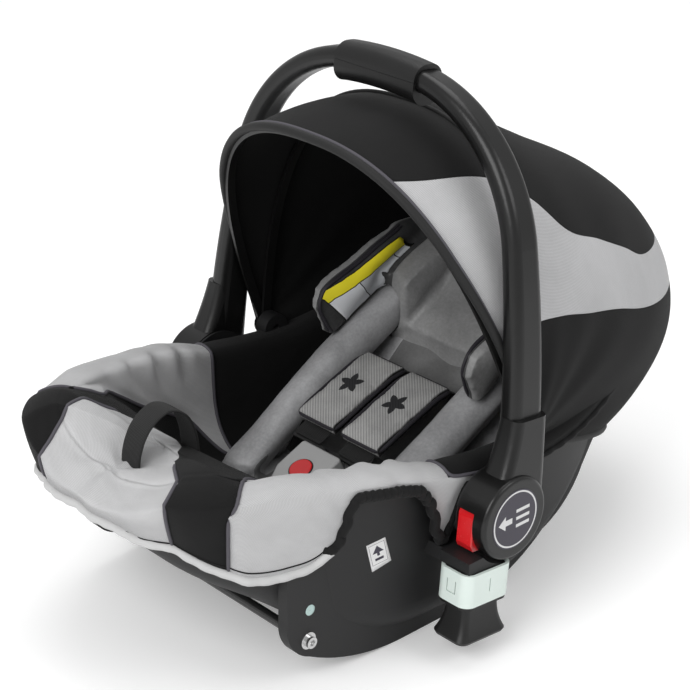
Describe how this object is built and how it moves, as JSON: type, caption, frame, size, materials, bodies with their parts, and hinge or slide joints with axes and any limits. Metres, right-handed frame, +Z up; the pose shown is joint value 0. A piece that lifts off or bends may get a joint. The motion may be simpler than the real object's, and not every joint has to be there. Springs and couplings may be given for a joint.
{
  "type": "infant car seat",
  "caption": "Infant car seat: rocker-bottomed moulded shell, swinging carry handle, folding canopy, padded cover with insert and harness.",
  "frame": {"origin": "on the floor plane, under the centre of the outline's box at rest", "axes": "+X to the seat's left side, +Y towards the head end, +Z up"},
  "size_m": [0.4542, 0.6715, 0.5039],
  "materials": {
    "shell_plastic": "fine texture",
    "handle_black": "satin",
    "grip_black": "satin, fine texture",
    "bar_black": "gloss",
    "chrome": "polished",
    "steel": "turned",
    "label_purple": "printed film",
    "button_red": "gloss",
    "collar_mint": "satin",
    "hoop_black": "satin",
    "canopy_grey": "diagonal weave",
    "cover_black": "padded twill",
    "insert_silver": "sheen",
    "pad_black": "padded twill",
    "webbing_grey": "woven webbing",
    "buckle_grey": "satin"
  },
  "bodies": {
    "base": {"shell": "shell_plastic", "front_cross_bar": "bar_black", "cross_bar_bolts": "chrome", "pivot_pin_left": "steel", "pivot_pin_right": "steel", "adapter_body_left": "shell_plastic", "adapter_body_right": "shell_plastic", "adapter_collar_left": "collar_mint", "adapter_collar_right": "collar_mint", "hood_rivet_left": "handle_black", "hood_rivet_right": "handle_black", "hood_rear_fabric": "canopy_grey", "seat_cover": "cover_black", "body_insert": "insert_silver", "head_pad": "insert_silver", "shoulder_strap_left": "webbing_grey", "shoulder_strap_right": "webbing_grey", "shoulder_pad_left": "pad_black", "shoulder_pad_right": "pad_black", "tongue_left": "buckle_grey", "tongue_right": "buckle_grey", "lap_strap_left": "webbing_grey", "lap_strap_right": "webbing_grey", "buckle_body": "buckle_grey", "crotch_pad": "pad_black", "crotch_strap": "webbing_grey", "pull_strap_loop": "webbing_grey", "adjuster_body": "buckle_grey"},
    "handle": {"handle_frame": "handle_black", "grip_lower": "grip_black", "grip_upper": "grip_black", "hub_cover_left": "shell_plastic", "hub_cover_right": "shell_plastic", "hub_label_left": "label_purple", "hub_label_right": "label_purple"},
    "release_button_left": {"release_button_left": "button_red"},
    "release_button_right": {"release_button_right": "button_red"},
    "hood_mid": {"hood_mid_bow": "hoop_black"},
    "hood_front": {"hood_front_bow": "hoop_black", "hood_front_fabric": "canopy_grey"},
    "buckle_button": {"buckle_button": "button_red"},
    "adjuster_button": {"adjuster_button": "buckle_grey"}
  },
  "joints": [
    {"name": "handle_swing", "type": "hinge", "parent": "base", "child": "handle", "pos_m": [0, -0.036, 0.135], "axis": [-1, 0, 0], "range_deg": [0, 95], "deforming": ["hood_rear_fabric"]},
    {"name": "hood_fold", "type": "hinge", "parent": "base", "child": "hood_mid", "pos_m": [0, 0.022, 0.17], "axis": [-1, 0, 0], "range_deg": [0, 45], "deforming": ["hood_rear_fabric", "hood_front_fabric"]},
    {"name": "hood_front_fold", "type": "hinge", "parent": "hood_mid", "child": "hood_front", "pos_m": [0, 0.022, 0.17], "axis": [-1, 0, 0], "range_deg": [0, 24], "deforming": ["hood_front_fabric"]},
    {"name": "release_press_left", "type": "slide", "parent": "handle", "child": "release_button_left", "axis": [0, 0.9952, -0.0976], "range_m": [0, 0.005], "stiffness_N_per_m": 900, "springref_m": -0.002},
    {"name": "release_press_right", "type": "slide", "parent": "handle", "child": "release_button_right", "axis": [0, 0.9952, -0.0976], "range_m": [0, 0.005], "stiffness_N_per_m": 900, "springref_m": -0.002},
    {"name": "buckle_press", "type": "slide", "parent": "base", "child": "buckle_button", "axis": [0, 0.3907, -0.9205], "range_m": [0, 0.003], "stiffness_N_per_m": 2500, "springref_m": -0.002},
    {"name": "adjuster_press", "type": "slide", "parent": "base", "child": "adjuster_button", "axis": [0, 0, -1], "range_m": [0, 0.003], "stiffness_N_per_m": 900, "springref_m": -0.002}
  ],
  "couplings": [
    {"joint": "hood_front_fold", "follows": "hood_fold", "ratio": 0.5333}
  ]
}
